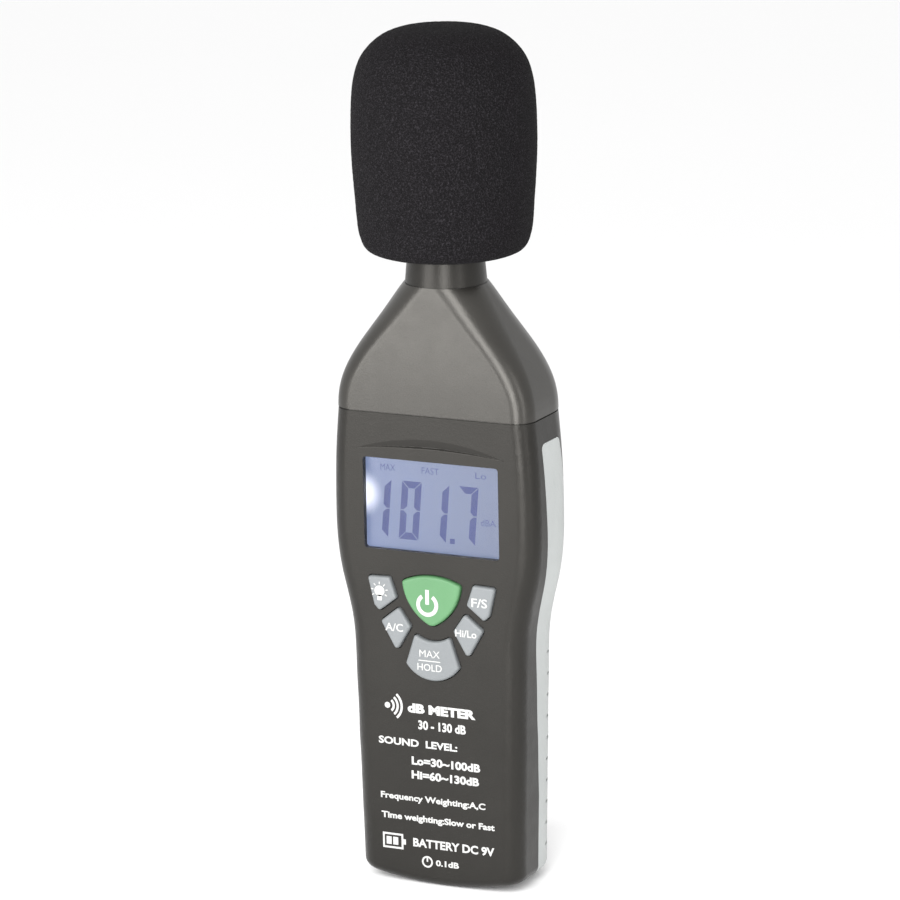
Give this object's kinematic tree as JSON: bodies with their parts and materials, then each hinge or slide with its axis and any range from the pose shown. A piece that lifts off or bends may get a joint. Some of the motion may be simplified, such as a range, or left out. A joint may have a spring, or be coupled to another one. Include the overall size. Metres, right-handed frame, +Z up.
{
  "type": "sound level meter",
  "caption": "Hand-held sound level meter with foam windscreen, backlit display, shaped keys, rubber side grips, battery door and tripod thread.",
  "frame": {"origin": "on the microphone axis, at the lowest point of the curved base", "axes": "+Z up along the microphone axis, display and keys face -Y, +X to the right seen from the front"},
  "size_m": [0.055, 0.0452, 0.2136],
  "materials": {
    "case_plastic": "fine moulded grain",
    "head_plastic": "satin",
    "grip_rubber": "soft matt light grey",
    "black_rubber": "matt",
    "bright_metal": "satin nickel",
    "diaphragm_metal": "satin",
    "white_plastic": "matt",
    "foam": "open-cell foam",
    "window_clear": "clear acrylic",
    "display_glass": "liquid crystal panel",
    "strip_rubber": "layered",
    "guide_acrylic": "frosted",
    "lamp": "clear",
    "board": "solder mask",
    "screw_steel": "zinc plated",
    "chip_plastic": "matt",
    "capacitor_can": "sleeved can",
    "ceramic_parts": "fired",
    "trimmer_blue": "gloss",
    "brass_parts": "machined",
    "dome_sheet": "film",
    "key_green": "soft satin",
    "key_grey": "soft satin",
    "battery_jacket": "printed jacket",
    "lead_red": "insulation",
    "lead_black": "insulation"
  },
  "bodies": {
    "instrument": {"front_case": "case_plastic", "rear_case": "case_plastic", "head_cover": "head_plastic", "neck_collar": "head_plastic", "grip_left": "grip_rubber", "grip_right": "grip_rubber", "sealing_ring": "black_rubber", "microphone_tube": "bright_metal", "microphone_grid": "bright_metal", "microphone_capsule": "diaphragm_metal", "microphone_holder": "white_plastic", "display_window": "window_clear", "display_glass": "display_glass", "display_frame": "white_plastic", "connector_strips": "strip_rubber", "light_guide": "guide_acrylic", "backlight_lamp": "lamp", "main_board": "board", "board_screws": "screw_steel", "board_chips": "chip_plastic", "board_capacitors": "capacitor_can", "board_passives": "ceramic_parts", "crystal": "bright_metal", "trimmer_body": "trimmer_blue", "preamp_board": "board", "signal_header": "chip_plastic", "preamp_parts": "chip_plastic", "dome_sheet": "dome_sheet", "battery": "battery_jacket", "battery_terminals": "bright_metal", "battery_snap": "black_rubber", "lead_red": "lead_red", "lead_black": "lead_black", "case_screws": "screw_steel", "tripod_insert": "brass_parts"},
    "key_power": {"key_power": "key_green"},
    "key_backlight": {"key_backlight": "key_grey"},
    "key_fast_slow": {"key_fast_slow": "key_grey"},
    "key_weighting": {"key_weighting": "key_grey"},
    "key_range": {"key_range": "key_grey"},
    "key_max_hold": {"key_max_hold": "key_grey"},
    "windscreen": {"windscreen": "foam"},
    "battery_door": {"battery_door": "case_plastic", "battery_door_screw": "screw_steel", "battery_pad": "foam"},
    "trimmer_rotor": {"trimmer_rotor": "brass_parts"}
  },
  "joints": [
    {"name": "key_power_press", "type": "slide", "parent": "instrument", "child": "key_power", "axis": [0, 1, 0], "range_m": [0, 0.0008], "stiffness_N_per_m": 900},
    {"name": "key_backlight_press", "type": "slide", "parent": "instrument", "child": "key_backlight", "axis": [0, 1, 0], "range_m": [0, 0.0008], "stiffness_N_per_m": 900},
    {"name": "key_fast_slow_press", "type": "slide", "parent": "instrument", "child": "key_fast_slow", "axis": [0, 1, 0], "range_m": [0, 0.0008], "stiffness_N_per_m": 900},
    {"name": "key_weighting_press", "type": "slide", "parent": "instrument", "child": "key_weighting", "axis": [0, 1, 0], "range_m": [0, 0.0008], "stiffness_N_per_m": 900},
    {"name": "key_range_press", "type": "slide", "parent": "instrument", "child": "key_range", "axis": [0, 1, 0], "range_m": [0, 0.0008], "stiffness_N_per_m": 900},
    {"name": "key_max_hold_press", "type": "slide", "parent": "instrument", "child": "key_max_hold", "axis": [0, 1, 0], "range_m": [0, 0.0008], "stiffness_N_per_m": 900},
    {"name": "windscreen_pull", "type": "slide", "parent": "instrument", "child": "windscreen", "axis": [0, 0, 1], "range_m": [0, 0.035]},
    {"name": "battery_door_lift", "type": "slide", "parent": "instrument", "child": "battery_door", "axis": [0, 1, 0], "range_m": [0, 0.03]},
    {"name": "trimmer_turn", "type": "hinge", "parent": "instrument", "child": "trimmer_rotor", "pos_m": [0.012, 0.0015, 0.1035], "axis": [0, 1, 0], "range_deg": [-130, 130]}
  ]
}
